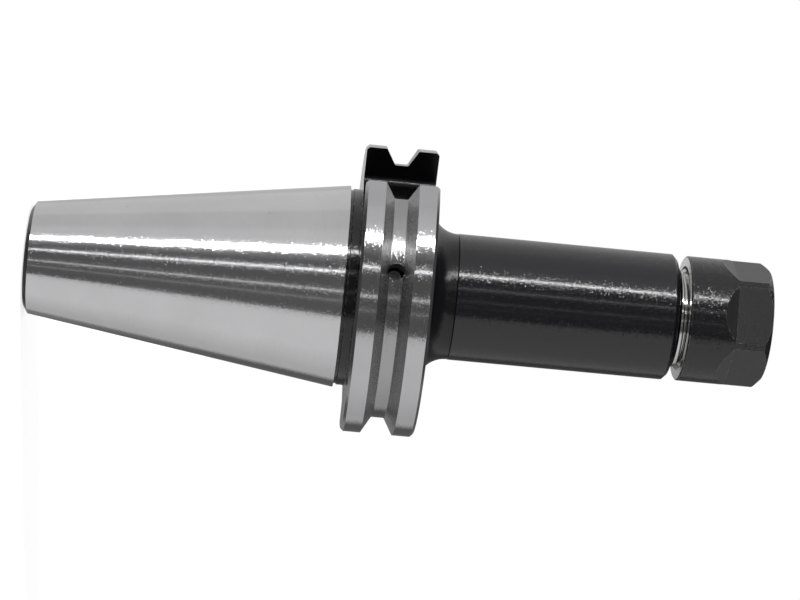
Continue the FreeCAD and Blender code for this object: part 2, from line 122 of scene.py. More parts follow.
def fix_place() -> None:
    """Lay the selected object's place, turn and scale into its mesh."""
    bpy.ops.object.transform_apply(location=True, rotation=True, scale=True)


def only(obj: Piece) -> None:
    """Select one object alone and make it the active one."""
    if bpy.context.mode != "OBJECT":
        mode("OBJECT")
    bpy.ops.object.select_all(action="DESELECT")
    obj.select_set(True)
    bpy.context.view_layer.objects.active = obj


def named(name: str) -> Piece:
    """Name the new active object and its mesh."""
    obj = bpy.context.active_object
    obj.name = name
    obj.data.name = name
    return obj


def drawn(name: str, points: Sequence[Point], closed: bool) -> Piece:
    """Draw an outline in the XZ plane, vertex by vertex.

    Args:
        name: the object's name.
        points: radius and height of each point, in millimetres.
        closed: whether the last point joins the first.

    Returns:
        The object, in edit mode with the outline selected.
    """
    bpy.ops.object.select_all(action="DESELECT")
    bpy.ops.mesh.primitive_plane_add(size=1.0)
    obj = named(name)
    mode("EDIT")
    bpy.ops.mesh.select_mode(type="VERT")
    bpy.ops.mesh.select_all(action="SELECT")
    bpy.ops.mesh.merge(type="CENTER")
    first = points[0]
    bpy.ops.transform.translate(value=(first[0], 0.0, first[1]))
    for (r0, z0), (r1, z1) in zip(points, points[1:]):
        bpy.ops.mesh.extrude_vertices_move(
            TRANSFORM_OT_translate={"value": (r1 - r0, 0.0, z1 - z0)}
        )
    if closed:
        # The last point is still selected from its extrusion
        mode("OBJECT")
        obj.data.vertices[0].select = True
        mode("EDIT")
        bpy.ops.mesh.edge_face_add()
    bpy.ops.mesh.select_all(action="SELECT")
    return obj


def turned(name: str, outline: Sequence[Corner], steps: int) -> Piece:
    """Turn an outline about the tool axis into a solid.

    Args:
        name: the object's name.
        outline: its corners, a closed ring or a line from axis to axis.
        steps: the number of facets round the axis.

    Returns:
        The solid, in object mode.
    """
    ring = outline[0].r > 0.0
    obj = drawn(name, rounded(outline, closed=ring), closed=ring)
    bpy.ops.mesh.spin(
        steps=steps, dupli=False, angle=FULL_TURN, center=(0, 0, 0), axis=(0, 0, 1)
    )
    return closed_solid(obj)


def closed_solid(obj: Piece) -> Piece:
    """Merge doubles, turn all faces outwards and leave edit mode."""
    if bpy.context.mode != "EDIT_MESH":
        only(obj)
        mode("EDIT")
    bpy.ops.mesh.select_all(action="SELECT")
    bpy.ops.mesh.remove_doubles(threshold=SAME_PLACE)
    bpy.ops.mesh.normals_make_consistent(inside=False)
    mode("OBJECT")
    return obj


def rod(
    name: str, radius: float, low: float, high: float, mouth: float = 0.0,
    over: float = OVERSHOOT, steps: int = 64,
) -> Piece:
    """A drill-shaped cutter along +Z, flared where it has a mouth.

    Args:
        name: the object's name.
        radius: the drill's radius.
        low: where its foot lies.
        high: where the drilled surface lies.
        mouth: the width of the chamfer at the surface.
        over: how far the cutter goes on past the surface.
        steps: the number of facets.

    Returns:
        The cutter.
    """
    side = [(0.0, low), (radius, low)]
    if mouth > 0.0:
        side.append((radius, high - mouth))
        radius += mouth + MOUTH_LIFT
        side.append((radius, high + MOUTH_LIFT))
    outline = corners(*side, (radius, high + over), (0.0, high + over))
    return turned(name, outline, steps)


def block(name: str, low: Sequence[float], high: Sequence[float]) -> Piece:
    """A box between two corners, in millimetres."""
    bpy.ops.object.select_all(action="DESELECT")
    size = [b - a for a, b in zip(low, high)]
    centre = [(a + b) / 2 for a, b in zip(low, high)]
    bpy.ops.mesh.primitive_cube_add(size=1.0, location=centre, scale=size)
    obj = named(name)
    fix_place()
    return obj


def placed(obj: Piece, matrix: Matrix) -> Piece:
    """Put a new piece at a place and fix its mesh there."""
    only(obj)
    obj.matrix_world = matrix
    fix_place()
    return obj


def copied(obj: Piece, degrees: float) -> Piece:
    """A copy of a piece with its own mesh, turned about the tool axis."""
    only(obj)
    bpy.ops.object.duplicate(linked=False)
    return placed(bpy.context.active_object, Matrix.Rotation(math.radians(degrees), 4, "Z"))


def cut(work: Piece, tool: Piece) -> None:
    """Cut a tool from the work, and clear the tool away."""
    only(work)
    modifier = work.modifiers.new(name="cut", type="BOOLEAN")
    modifier.operation = "DIFFERENCE"
    modifier.solver = "EXACT"
    modifier.object = tool
    bpy.ops.object.modifier_apply(modifier=modifier.name)
    bpy.data.objects.remove(tool, do_unlink=True)
    if not work.data.polygons:
        raise RuntimeError("nothing of %s is left after a cut" % work.name)


def cut_round(work: Piece, tools: Sequence[Piece], count: int, start: float = 0.0) -> None:
    """Cut copies of a set of tools from the work, evenly round the tool axis.

    Args:
        work: the piece that stays.
        tools: the tools at no turn, cleared away at the end.
        count: the number of cuts.
        start: the turn of the first one, in degrees.
    """
    for i in range(count):
        for tool in tools:
            cut(work, copied(tool, start + 360.0 / count * i))
    for tool in tools:
        bpy.data.objects.remove(tool, do_unlink=True)


def bevel_edges(
    obj: Piece, wanted: Callable[[Vector, Vector], bool], width: float, segments: int
) -> None:
    """Round the edges whose two ends pass a test.

    Args:
        obj: the piece.
        wanted: takes the two ends of an edge and says whether it is wanted.
        width: how far the rounding reaches from the edge.
        segments: the number of facets across it.
    """
    only(obj)
    mode("EDIT")
    bpy.ops.mesh.select_mode(type="EDGE")
    bpy.ops.mesh.select_all(action="DESELECT")
    mode("OBJECT")
    for edge in obj.data.edges:
        edge.select = wanted(*(obj.data.vertices[k].co for k in edge.vertices))
    mode("EDIT")
    bpy.ops.mesh.bevel(offset=width, segments=segments, affect="EDGES", clamp_overlap=True)
    mode("OBJECT")


def helix(
    name: str, outline: Sequence[Point], pitch: float, low: float, turns: int, steps: int
) -> Piece:
    """A cutter that winds an outline round the axis as a right-hand screw.

    Args:
        name: the object's name.
        outline: the closed outline of the groove, radius and height about its middle.
        pitch: the rise in one turn.
        low: the height of the outline's middle at the start.
        turns: the number of turns.
        steps: the number of facets in one turn.

    Returns:
        The cutter, closed at both ends.
    """
    drawn(name, [(r, z + low) for r, z in outline], closed=True)
    bpy.ops.mesh.edge_face_add()
    mode("OBJECT")
    obj = bpy.context.active_object
    screw = obj.modifiers.new(name="wind", type="SCREW")
    screw.axis = "Z"
    screw.angle = FULL_TURN * turns
    screw.screw_offset = pitch * turns
    screw.steps = steps * turns
    screw.render_steps = steps * turns
    screw.use_merge_vertices = False
    only(obj)
    bpy.ops.object.modifier_apply(modifier=screw.name)
    mode("EDIT")
    bpy.ops.mesh.select_mode(type="EDGE")
    bpy.ops.mesh.select_all(action="DESELECT")
    bpy.ops.mesh.select_non_manifold(extend=False)
    bpy.ops.mesh.fill_holes(sides=0)
    return closed_solid(obj)


def outwards(centre: Vector, normal: Vector) -> tuple[float, float]:
    """A face's distance from the tool axis, and how straight it looks away from it."""
    r = math.hypot(centre.x, centre.y)
    return r, (normal.x * centre.x + normal.y * centre.y) / max(r, 1e-6)


def finished(
    obj: Piece,
    finishes: Sequence["Finish"],
    choose: Callable[[Vector, Vector], "Finish"],
    body: str,
    node: str,
) -> None:
    """Bring a piece to metres, smooth it, dress it and hand it to its body.

    Args:
        obj: the piece, in millimetres.
        finishes: the finishes that it wears.
        choose: takes a face's centre in millimetres and its normal, gives its finish.
        body: the body that it moves with.
        node: the solid that it stands for.
    """
    closed_solid(obj)
    for finish in finishes:
        obj.data.materials.append(finish.material())
    index = {finish.name: i for i, finish in enumerate(finishes)}
    for face in obj.data.polygons:
        face.material_index = index[choose(face.center, face.normal).name]
    only(obj)
    obj.scale = (MM, MM, MM)
    fix_place()
    bpy.ops.object.shade_smooth_by_angle(angle=SMOOTH_ANGLE)
    weigh = obj.modifiers.new(name="weigh", type="WEIGHTED_NORMAL")
    weigh.keep_sharp = True
    weigh.weight = FACE_WEIGHT
    bpy.ops.object.modifier_apply(modifier=weigh.name)
    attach(obj, body)
    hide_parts(node)
    LOG.info("%s: %d faces", obj.name, len(obj.data.polygons))


# Finishes


class Wiring:
    """Short calls that place and join shader nodes."""

    def __init__(self, tree: bpy.types.NodeTree) -> None:
        """Start on a tree, emptied first."""
        self.tree = tree
        tree.nodes.clear()

    def feed(self, socket: Socket, value: object) -> None:
        """Link a socket to another one, or set it to a constant."""
        if isinstance(value, Socket):
            self.tree.links.new(value, socket)
        else:
            socket.default_value = value

    def node(self, kind: str, settings: dict | None = None, **inputs: object) -> bpy.types.Node:
        """Place a node and feed its sockets.

        Args:
            kind: the node's type, without the words that every type begins with.
            settings: its own properties.
            inputs: values by socket name, spaces as underscores, or by number as in_0.
        """
        node = self.tree.nodes.new("ShaderNode" + kind)
        for key, value in (settings or {}).items():
            setattr(node, key, value)
        for key, value in inputs.items():
            socket = int(key[3:]) if key.startswith("in_") else key.replace("_", " ")
            self.feed(node.inputs[socket], value)
        return node

    def math(self, operation: str, *values: object) -> Socket:
        """The result of a maths node on one to three values."""
        inputs = {"in_%d" % i: value for i, value in enumerate(values)}
        return self.node("Math", {"operation": operation}, **inputs).outputs[0]

    def vector(self, operation: str, *values: object) -> Socket:
        """The result of a vector maths node on one or two vectors."""
        inputs = {"in_%d" % i: value for i, value in enumerate(values)}
        node = self.node("VectorMath", {"operation": operation}, **inputs)
        return node.outputs["Value" if operation == "DOT_PRODUCT" else "Vector"]

    def scaled(self, vector: object, factor: object) -> Socket:
        """A vector times a number."""
        node = self.node("VectorMath", {"operation": "SCALE"}, in_0=vector, Scale=factor)
        return node.outputs["Vector"]

    def around_one(self, value: object, amount: float) -> Socket:
        """One less an amount where a value is 0, one more that amount where it is 1."""
        return self.math("MULTIPLY_ADD", value, 2.0 * amount, 1.0 - amount)

    def clamped(self, value: object) -> Socket:
        """A value kept between 0 and 1."""
        return self.node("Clamp", Value=value).outputs[0]

    def noise(self, vector: object, scale: float, detail: float, roughness: float) -> Socket:
        """Fractal noise from 0 to 1."""
        node = self.node(
            "TexNoise", Vector=vector, Scale=scale, Detail=detail, Roughness=roughness
        )
        return node.outputs["Fac"]

    def cells(self, vector: object, scale: float) -> bpy.types.Node:
        """Cells strewn through space, each with its own colour."""
        return self.node("TexVoronoi", Vector=vector, Scale=scale)

    def bumped(
        self, height: object, depth: float, normal: object = None, sunk: bool = False
    ) -> Socket:
        """Lean a normal as a height from 0 to 1, of a depth in metres, rises and falls."""
        inputs = {} if normal is None else {"Normal": normal}
        return self.node(
            "Bump", {"invert": sunk}, Strength=1.0, Distance=depth, Height=height, **inputs
        ).outputs[0]

    def ramp(self, value: object, stops: Iterable[Point], smooth: bool = False) -> Socket:
        """A grey ramp over the places and greys of its stops, eased where smooth."""
        node = self.node("ValToRGB", Fac=value)
        node.color_ramp.interpolation = "EASE" if smooth else "LINEAR"
        stops = list(stops)
        elements = node.color_ramp.elements
        while len(elements) < len(stops):
            elements.new(0.5)
        for element, (place, grey) in zip(elements, stops):
            element.position = place
            element.color = (grey, grey, grey, 1.0)
        return node.outputs["Color"]

    def mix(self, factor: object, first: object, second: object, colour: bool = False) -> Socket:
        """Mix two numbers, or two colours."""
        kind, at, result = ("RGBA", 6, 2) if colour else ("FLOAT", 2, 0)
        inputs = {"in_0": factor, "in_%d" % at: first, "in_%d" % (at + 1): second}
        return self.node("Mix", {"data_type": kind}, **inputs).outputs[result]

    def for_camera(self, others: Socket, seen: Socket) -> Socket:
        """One shader for the camera's own rays, another one for all others."""
        ray = self.node("LightPath").outputs["Is Camera Ray"]
        return self.node("MixShader", in_0=ray, in_1=others, in_2=seen).outputs[0]


class Grain(Enum):
    """The way that a finish's tool marks run."""

    ROUND = "round the axis"
    ALONG = "along the axis"
    NONE = "no direction"


@dataclass(frozen=True)
class Finish:
    """A metal finish with tool marks, grain, pits and worn edges.

    Args:
        name: the material's name.
        colour: the metal's own colour, lowered by painted shade in the groove's finishes.
        worn: the colour of rubbed edges.
        metal: 1 for bare metal, less for an oxide layer.
        ior: the layer's refractive index.
        roughness: how matt it is.
        anisotropy: how much more the tool marks blur across than along.
        grain: the way that the tool marks run.
        mark_pitch: their distance, in millimetres.
        mark_height: their height, in micrometres.
        speck_size: the size of the grain, in millimetres.
        speck_height: its height, in micrometres.
        glint_tilt: how far a glinting speck of grain leans, in degrees.
        grit: how much roughness varies from speck to speck, 0 to 1.
        pits: the share of the surface's cells that hold a pit, its colour darkened by painted
            shade.
        wear: how far the edges are rubbed bare, 0 to 1.
        patch: how much roughness varies from place to place.
    """

    name: str
    colour: tuple[float, float, float]
    worn: tuple[float, float, float] = (0.62, 0.62, 0.62)
    metal: float = 1.0
    ior: float = 1.5
    roughness: float = 0.2
    anisotropy: float = 0.0
    grain: Grain = Grain.ROUND
    mark_pitch: float = 0.12
    mark_height: float = 0.4
    speck_size: float = 0.35
    speck_height: float = 2.0
    glint_tilt: float = 0.0
    grit: float = 0.0
    pits: float = 0.0
    wear: float = 0.0
    patch: float = 0.15

    PATCH_SCALE = 70.0
    PATCH_SHADE = 0.09
    MARK_SHADE = 0.05
    MARKS_ROUND = 7.0
    MARKS_STRETCH = (1.0, 1.0, 0.03)
    GLINT_EDGE = ((0.42, 1.0), (0.6, 0.0))
    PIT_SCALE = 260.0
    PIT_REACH = (0.04, 0.025)
    PIT_STEEPNESS = 3.0
    PIT_DEPTH = 6e-5
    # How far a pit's colour is darkened: painted shade of its hollow
    PIT_PAINTED_SHADE = -0.85
    WORN_WIDTH = 0.00022
    WORN_LIMIT = 0.999
    WORN_NOISE_SCALE = 900.0
    WORN_BREAKS = (14.0, -6.4)
    WORN_GAIN = 6.0
    WORN_ROUGHNESS = 0.3
    QUARTER_TURN = 0.25

    def material(self) -> bpy.types.Material:
        """The material, made once and then shared."""
        found = bpy.data.materials.get(self.name)
        if found is not None:
            return found
        material = bpy.data.materials.new(self.name)
        material.use_nodes = True
        self.wire(Wiring(material.node_tree))
        return material

    def wire(self, w: Wiring) -> None:
        """Lay the nodes of the finish on an emptied tree."""
        place = w.node("TexCoord").outputs["Object"]
        parts = w.node("SeparateXYZ", Vector=place)
        x, y, z = (parts.outputs[k] for k in range(3))
        round_unit = w.vector("NORMALIZE", w.node("CombineXYZ", X=x, Y=y).outputs[0])
        patches = w.noise(place, self.PATCH_SCALE, 3.0, 0.55)
        specks = w.noise(place, self.speck_scale, 2.0, 0.6)
        marks = self.tool_marks(w, place, round_unit, z)
        bump = w.bumped(marks, self.mark_height * MICROMETRE)
        bump = w.bumped(specks, self.speck_height * MICROMETRE, bump)

        shade = w.around_one(patches, self.PATCH_SHADE)
        shade = w.math("MULTIPLY", shade, w.around_one(marks, self.MARK_SHADE))
        if self.pits > 0.0:
            pit = self.pit_mask(w, place)
            bump = w.bumped(pit, self.PIT_DEPTH, bump, sunk=True)
            # Painted shade: the colour inside each pit is darkened
            pit_painted_shade = w.math("MULTIPLY_ADD", pit, self.PIT_PAINTED_SHADE, 1.0)
            shade = w.math("MULTIPLY", shade, pit_painted_shade)
        colour = w.scaled(self.colour, shade)
        roughness = w.math("MULTIPLY", w.around_one(patches, self.patch), self.roughness)
        if self.grit > 0.0:
            cells = w.cells(place, self.speck_scale)
            chance = w.node("SeparateColor", Color=cells.outputs["Color"]).outputs[2]
            roughness = w.math("MULTIPLY", roughness, w.around_one(chance, self.grit))
        metal: object = self.metal
        if self.wear > 0.0:
            edge = self.edge_mask(w, place)
            colour = w.mix(edge, colour, (*self.worn, 1.0), colour=True)
            roughness = w.mix(edge, roughness, self.WORN_ROUGHNESS)
            metal = w.mix(edge, self.metal, 1.0)
        if self.glint_tilt > 0.0:
            bump = self.glinting(w, place, bump)
        shader = w.node(
            "BsdfPrincipled", Base_Color=colour, Metallic=metal, Roughness=roughness,
            IOR=self.ior, Normal=bump,
        )
        if self.anisotropy > 0.0:
            across = w.vector("CROSS_PRODUCT", (0.0, 0.0, 1.0), round_unit)
            turned_to = w.node(
                "VectorTransform",
                {"vector_type": "VECTOR", "convert_from": "OBJECT", "convert_to": "WORLD"},
                Vector=across,
            ).outputs[0]
            w.feed(shader.inputs["Anisotropic"], self.anisotropy)
            w.feed(shader.inputs["Anisotropic Rotation"], self.QUARTER_TURN)
            w.feed(shader.inputs["Tangent"], turned_to)
        w.node("OutputMaterial", Surface=shader.outputs[0])

    @property
    def speck_scale(self) -> float:
        """The number of specks in a metre."""
        return 1.0 / (self.speck_size * MM)

    def tool_marks(self, w: Wiring, place: Socket, round_unit: Socket, z: Socket) -> Socket:
        """The fine lines that the tool left, as heights from 0 to 1."""
        fine = 1.0 / (self.mark_pitch * MM)
        vector, scale = place, fine
        if self.grain is Grain.ROUND:
            lift = w.node("CombineXYZ", Z=w.math("MULTIPLY", z, fine)).outputs[0]
            vector, scale = w.vector("ADD", w.scaled(round_unit, self.MARKS_ROUND), lift), 1.0
        elif self.grain is Grain.ALONG:
            vector, scale = w.vector("MULTIPLY", w.scaled(place, fine), self.MARKS_STRETCH), 1.0
        return w.noise(vector, scale, 3.0, 0.65)

    def glinting(self, w: Wiring, place: Socket, normal: Socket) -> Socket:
        """Lean small specks of the surface at random, a few of them far."""
        cells = w.cells(place, self.speck_scale)
        lean = w.scaled(w.vector("SUBTRACT", cells.outputs["Color"], (0.5, 0.5, 0.5)), 2.0)
        cube = w.vector("MULTIPLY", w.vector("MULTIPLY", lean, lean), lean)
        core = w.ramp(cells.outputs["Distance"], self.GLINT_EDGE)
        reach = w.math("MULTIPLY", core, math.sin(math.radians(self.glint_tilt)))
        return w.vector("NORMALIZE", w.vector("ADD", normal, w.scaled(cube, reach)))

    def pit_mask(self, w: Wiring, place: Socket) -> Socket:
        """Rare small pits, 1 inside a pit and 0 elsewhere."""
        cells = w.cells(place, self.PIT_SCALE)
        chance = w.node("SeparateColor", Color=cells.outputs["Color"])
        chosen = w.math("LESS_THAN", chance.outputs[0], self.pits)
        reach = w.math("MULTIPLY_ADD", chance.outputs[1], *self.PIT_REACH)
        near = w.math("SUBTRACT", 1.0, w.math("DIVIDE", cells.outputs["Distance"], reach))
        inside = w.clamped(w.math("MULTIPLY", near, self.PIT_STEEPNESS))
        return w.math("MULTIPLY", inside, chosen)

    def edge_mask(self, w: Wiring, place: Socket) -> Socket:
        """Where an edge is rubbed bare, broken up by a fine noise."""
        soft = w.node("Bevel", {"samples": 6}, Radius=self.WORN_WIDTH).outputs[0]
        true = w.node("NewGeometry").outputs["True Normal"]
        agree = w.vector("DOT_PRODUCT", soft, true)
        bend = w.math("MAXIMUM", w.math("SUBTRACT", self.WORN_LIMIT, agree), 0.0)
        broken = w.noise(place, self.WORN_NOISE_SCALE, 3.0, 0.7)
        breaks = w.math("MULTIPLY_ADD", broken, *self.WORN_BREAKS)
        reach = w.math("MULTIPLY", w.math("SQRT", bend), breaks)
        return w.clamped(w.math("MULTIPLY", reach, self.wear * self.WORN_GAIN))


GROUND_TAPER = Finish(
    "ground_taper", (0.62, 0.62, 0.63), roughness=0.14, anisotropy=0.7, mark_height=0.25,
    speck_size=0.19, speck_height=1.0, glint_tilt=3.6, grit=0.35, pits=0.6,
)
GROUND_RIM = Finish(
    "ground_rim", (0.53, 0.53, 0.54), roughness=0.12, anisotropy=0.6, mark_height=0.4,
    speck_size=0.19, speck_height=1.0, glint_tilt=3.4, grit=0.35, pits=0.2,
)
# Ground steel of the groove, its colour darker than the rim's: painted shade of the groove between
# the rims
GROUND_GROOVE_PAINTED_SHADE = Finish(
    "ground_groove_painted_shade", (0.39, 0.39, 0.39), roughness=0.16, anisotropy=0.4, mark_height=0.7,
    speck_size=0.2, speck_height=1.5, glint_tilt=6.0, grit=0.3,
)
GROUND_FLANK_PAINTED_SHADE = Finish(
    "ground_flank_painted_shade", (0.42, 0.42, 0.42), roughness=0.33, anisotropy=0.4, mark_height=0.9,
    speck_size=0.22, speck_height=2.0, glint_tilt=6.0, grit=0.3,
)
BLACK_TURNED = Finish(
    "black_turned", (0.006, 0.006, 0.007), metal=0.0, ior=1.54, roughness=0.12,
    mark_pitch=0.3, mark_height=2.5, speck_size=0.26, speck_height=1.0, glint_tilt=6.0,
    wear=0.1,
)
BLACK_MILLED = Finish(
    "black_milled", (0.004, 0.004, 0.004), metal=0.0, ior=1.25, roughness=0.2,
    grain=Grain.ALONG, mark_height=0.5, speck_height=1.5,
)
BLACK_NECK = Finish(
    "black_neck", (0.010, 0.009, 0.012), metal=0.0, ior=1.56, roughness=0.13,
    mark_height=0.3, speck_size=0.24, speck_height=0.8, glint_tilt=8.0, pits=0.15,
)
BLACK_ROOT = Finish(
    "black_root", (0.006, 0.0055, 0.007), metal=0.0, ior=1.44, roughness=0.2,
    mark_height=0.8, speck_size=0.24, speck_height=1.5, glint_tilt=7.0,
)
BLACK_NUT = Finish(
    "black_nut", (0.010, 0.010, 0.012), metal=0.0, ior=1.54, roughness=0.15,
    mark_height=0.6, speck_size=0.26, speck_height=2.0, glint_tilt=14.0, wear=0.12,
)
BLACK_FLAT = Finish(
    "black_flat", (0.016, 0.016, 0.016), metal=0.0, ior=1.56, roughness=0.3,
    grain=Grain.NONE, mark_height=0.6, speck_size=0.22, speck_height=2.0, glint_tilt=5.0,
    wear=0.15,
)
BRIGHT_THREAD = Finish(
    "bright_thread", (0.62, 0.62, 0.61), roughness=0.13, mark_pitch=0.08, mark_height=0.4,
    speck_height=1.5, glint_tilt=4.0,
)
BRIGHT_FACE = Finish(
    "bright_face", (0.62, 0.62, 0.62), roughness=0.2, grain=Grain.NONE, mark_height=0.4,
    speck_height=1.5,
)
BORE_STEEL = Finish(
    "bore_steel", (0.30, 0.30, 0.30), roughness=0.34, mark_height=1.5, speck_height=4.0,
)
COLLET_STEEL = Finish(
    "collet_steel", (0.55, 0.55, 0.555), roughness=0.2, anisotropy=0.5, mark_height=0.5,
    speck_height=2.5, pits=0.01,
)
SCREW_BLACK = Finish(
    "screw_black", (0.03, 0.03, 0.032), metal=0.0, ior=1.6, roughness=0.35, grain=Grain.NONE,
    mark_height=1.0, speck_height=4.0, wear=0.4,
)
PLUG_STEEL = Finish(
    "plug_steel", (0.40, 0.40, 0.40), roughness=0.32, grain=Grain.NONE, mark_height=1.0,
    speck_height=3.0, wear=0.3,
)


# The holder


@dataclass
class HolderBody:
    """Taper, flange, neck and threaded nose, in millimetres as drawn."""

    steps: int = 288
    taper_length: float = 68.4
    gauge_radius: float = 22.225
    slope: float = 7.0 / 48.0
    end_inset: float = 1.3
    end_chamfer: float = 0.95
    overrun: float = 0.6
    relief_width: float = 0.7
    relief_radius: float = 21.45
    collar_radius: float = 21.7
    flange_rear: float = 71.6
    flange_front: float = 87.5
    flange_radius: float = 31.775
    flange_chamfer: float = 0.6
    groove_centre: float = 79.5
    groove_floor: float = 28.125
    groove_half: float = 1.43
    groove_flank: float = 30.0
    slot_half: float = 8.05
    near_floor: float = 22.8
    far_floor: float = 25.0
    slot_corner: float = 1.0
    slot_break: float = 0.12
    notch_half: float = 3.5
    notch_floor: float = 28.2
    neck_radius: float = 14.0
    cove: float = 6.0
    root_relief: float = 0.08
    neck_end: float = 142.3
    neck_chamfer: float = 0.9
    root_line: float = 93.65
    line_half: float = 0.13
    line_depth: float = 0.2
    nose_radius: float = 10.975
    nose_end: float = 156.0
    nose_chamfer: float = 0.8
    thread_root: float = 10.06
    thread_pitch: float = 1.5
    thread_start: float = 0.998
    undercut: float = 0.45
    seat_radius: float = 8.0
    seat_angle: float = 8.0
    chamber_radius: float = 5.2
    stop_radius: float = 5.05
    stop_top: float = 130.0
    stop_foot: float = 96.0
    drill_radius: float = 3.5
    drawbar_core: float = 7.0
    drawbar_major: float = 8.0
    drawbar_pitch: float = 2.0
    drawbar_depth: float = 43.0
    drill_point: float = 59.0
    pilot_radius: float = 8.5
    pilot_depth: float = 8.2
    clocking: float = 52.5
    radial_drill: float = 1.75
    radial_mouth: float = 0.12
    slant_drill: float = 2.0
    slant_mouth: float = 27.0
    slant_angle: float = 33.4

    NEAR = 0.01
    BORE_LIMIT = 9.9
    GROOVE_REACH = 5.0
    FLANK_REACH = 4.0
    HOLE_REACH = 6.0
    DRILL_FOOT = 1.0
    RUN_OUT = 1.5
    THREAD_ANGLE = math.radians(30.0)
    NOSE_OVER = 0.05
    DRAWBAR_OVER = 0.35
    DRAWBAR_TURNS = 15

    def outline(self) -> list[Corner]:
        """The turned outline, up the outside and down the bore."""
        end = self.gauge_radius - self.taper_length * self.slope
        top = self.taper_length + self.overrun
        relief_top = top + self.relief_width
        half, floor, rim = self.groove_half, self.groove_floor, self.flange_radius
        middle, rear, front = self.groove_centre, self.flange_rear, self.flange_front
        mouth = half + (rim - floor) * math.tan(math.radians(self.groove_flank))
        seat_foot = self.nose_end - (self.seat_radius - self.chamber_radius) / math.tan(
            math.radians(self.seat_angle)
        )
        point = self.drawbar_depth + (self.drawbar_core - self.drill_radius) / math.tan(
            math.radians(self.drill_point)
        )
        edge, root, neck = self.flange_chamfer, self.root_line, self.neck_radius
        neck_end, neck_edge = self.neck_end, self.neck_chamfer
        thread, nose, nose_edge = self.thread_root, self.nose_radius, self.nose_chamfer
        return corners(
            (end - self.end_inset, 0.0, 0.1),
            (end + self.end_chamfer * self.slope, self.end_chamfer, 0.12),
            (self.gauge_radius + self.overrun * self.slope, top, 0.06),
            (self.relief_radius, top, 0.15),
            (self.relief_radius, relief_top, 0.15),
            (self.collar_radius, relief_top, 0.08),
            (self.collar_radius, rear, 0.15),
            (rim - edge, rear, 0.08),
            (rim, rear + edge, 0.1),
            (rim, middle - mouth, 0.12),
            (floor, middle - half, 0.4),
            (floor, middle + half, 0.4),
            (rim, middle + mouth, 0.12),
            (rim, front - edge, 0.1),
            (rim - edge, front, 0.08),
            (neck - self.root_relief, front, self.cove),
            (neck - self.root_relief, root - self.line_half),
            (neck - self.line_depth, root),
            (neck, root + self.line_half, 0.03),
            (neck, neck_end - neck_edge, 0.15),
            (neck - neck_edge, neck_end, 0.1),
            (thread, neck_end, 0.1),
            (thread, neck_end + self.undercut, 0.05),
            (nose, neck_end + self.undercut + 0.5, 0.05),
            (nose, self.nose_end - nose_edge),
            (nose - nose_edge, self.nose_end),
            (self.seat_radius, self.nose_end, 0.1),
            (self.chamber_radius, seat_foot),
            (self.chamber_radius, self.stop_top),
            (self.stop_radius, self.stop_top),
            (self.stop_radius, self.stop_foot),
            (self.drill_radius, self.stop_foot),
            (self.drill_radius, point),
            (self.drawbar_core, self.drawbar_depth),
            (self.drawbar_core, self.pilot_depth),
            (self.pilot_radius, self.pilot_depth),
            (self.pilot_radius, 0.0, 0.15),
        )

    def slot_cutter(self, floor: float) -> Piece:
        """A cutter for the drive slot on the floor's side, its floor corners rounded."""
        far = math.copysign(self.flange_radius + 6.0, floor)
        low = min(floor, far), -self.slot_half, self.flange_rear - 1.0
        high = max(floor, far), self.slot_half, self.flange_front + 2.0
        cutter = block("slot_cutter", low, high)

        def upright_at_floor(a: Vector, b: Vector) -> bool:
            at_floor = all(abs(p.x - floor) < self.NEAR for p in (a, b))
            return at_floor and abs(a.z - b.z) > 1.0

        bevel_edges(cutter, upright_at_floor, self.slot_corner, 8)
        return cutter

    def break_slot_edges(self, obj: Piece) -> None:
        """Take the sharp edges off the mouths of the two drive slots."""
        wall_start = self.near_floor + self.slot_corner + 0.02
        chamfer = self.flange_chamfer

        def on_mouth(p: Vector) -> bool:
            wall = abs(abs(p.y) - self.slot_half) < 0.004 and abs(p.x) > wall_start
            groove = abs(p.z - self.groove_centre) < self.GROOVE_REACH
            face = p.z < self.flange_rear + chamfer or p.z > self.flange_front - chamfer
            rim = math.hypot(p.x, p.y) > self.flange_radius - self.NEAR
            return wall and (groove or face or rim)

        bevel_edges(obj, lambda a, b: on_mouth(a) and on_mouth(b), self.slot_break, 2)

    def drill(self, obj: Piece) -> None:
        """Drill the radial and the slanted coolant holes, each with its twin."""
        radial = rod(
            "radial_drill", self.radial_drill, self.DRILL_FOOT, self.groove_floor,
            self.radial_mouth,
        )
        lie = Matrix.Rotation(math.pi / 2, 4, "Y")
        lie.translation = (0, 0, self.groove_centre)
        slant = math.radians(self.slant_angle)
        depth = (self.groove_centre - self.flange_rear) / math.sin(slant)
        slanted = rod("slant_drill", self.slant_drill, -depth, 0.0)
        tilt = Matrix.Rotation(math.radians(90.0 + self.slant_angle), 4, "Y")
        tilt.translation = (self.slant_mouth, 0, self.flange_rear)
        cut_round(obj, (placed(radial, lie), placed(slanted, tilt)), 2, self.clocking)

    def nose_groove(self) -> Piece:
        """The cutter of the nut's thread: a right-hand groove of 60 degrees."""
        top = self.nose_radius + self.NOSE_OVER
        root_half = self.thread_pitch / 8
        half = root_half + (top - self.thread_root) * math.tan(self.THREAD_ANGLE)
        outline = [
            (self.thread_root, -root_half), (self.thread_root, root_half),
            (top, half), (top, -half),
        ]
        low = self.neck_end + self.thread_start
        turns = math.ceil((self.nose_end + self.RUN_OUT - low) / self.thread_pitch)
        return helix("nose_groove", outline, self.thread_pitch, low, turns, 96)

    def drawbar_groove(self) -> Piece:
        """The cutter of the drawbar's thread in the bore."""
        foot = self.drawbar_core - self.DRAWBAR_OVER
        crest = self.drawbar_pitch / 16
        half = crest + (self.drawbar_major - foot) * math.tan(self.THREAD_ANGLE)
        outline = [
            (foot, -half), (foot, half),
            (self.drawbar_major, crest), (self.drawbar_major, -crest),
        ]
        low = self.pilot_depth - 1.0
        return helix("drawbar_groove", outline, self.drawbar_pitch, low, self.DRAWBAR_TURNS, 72)

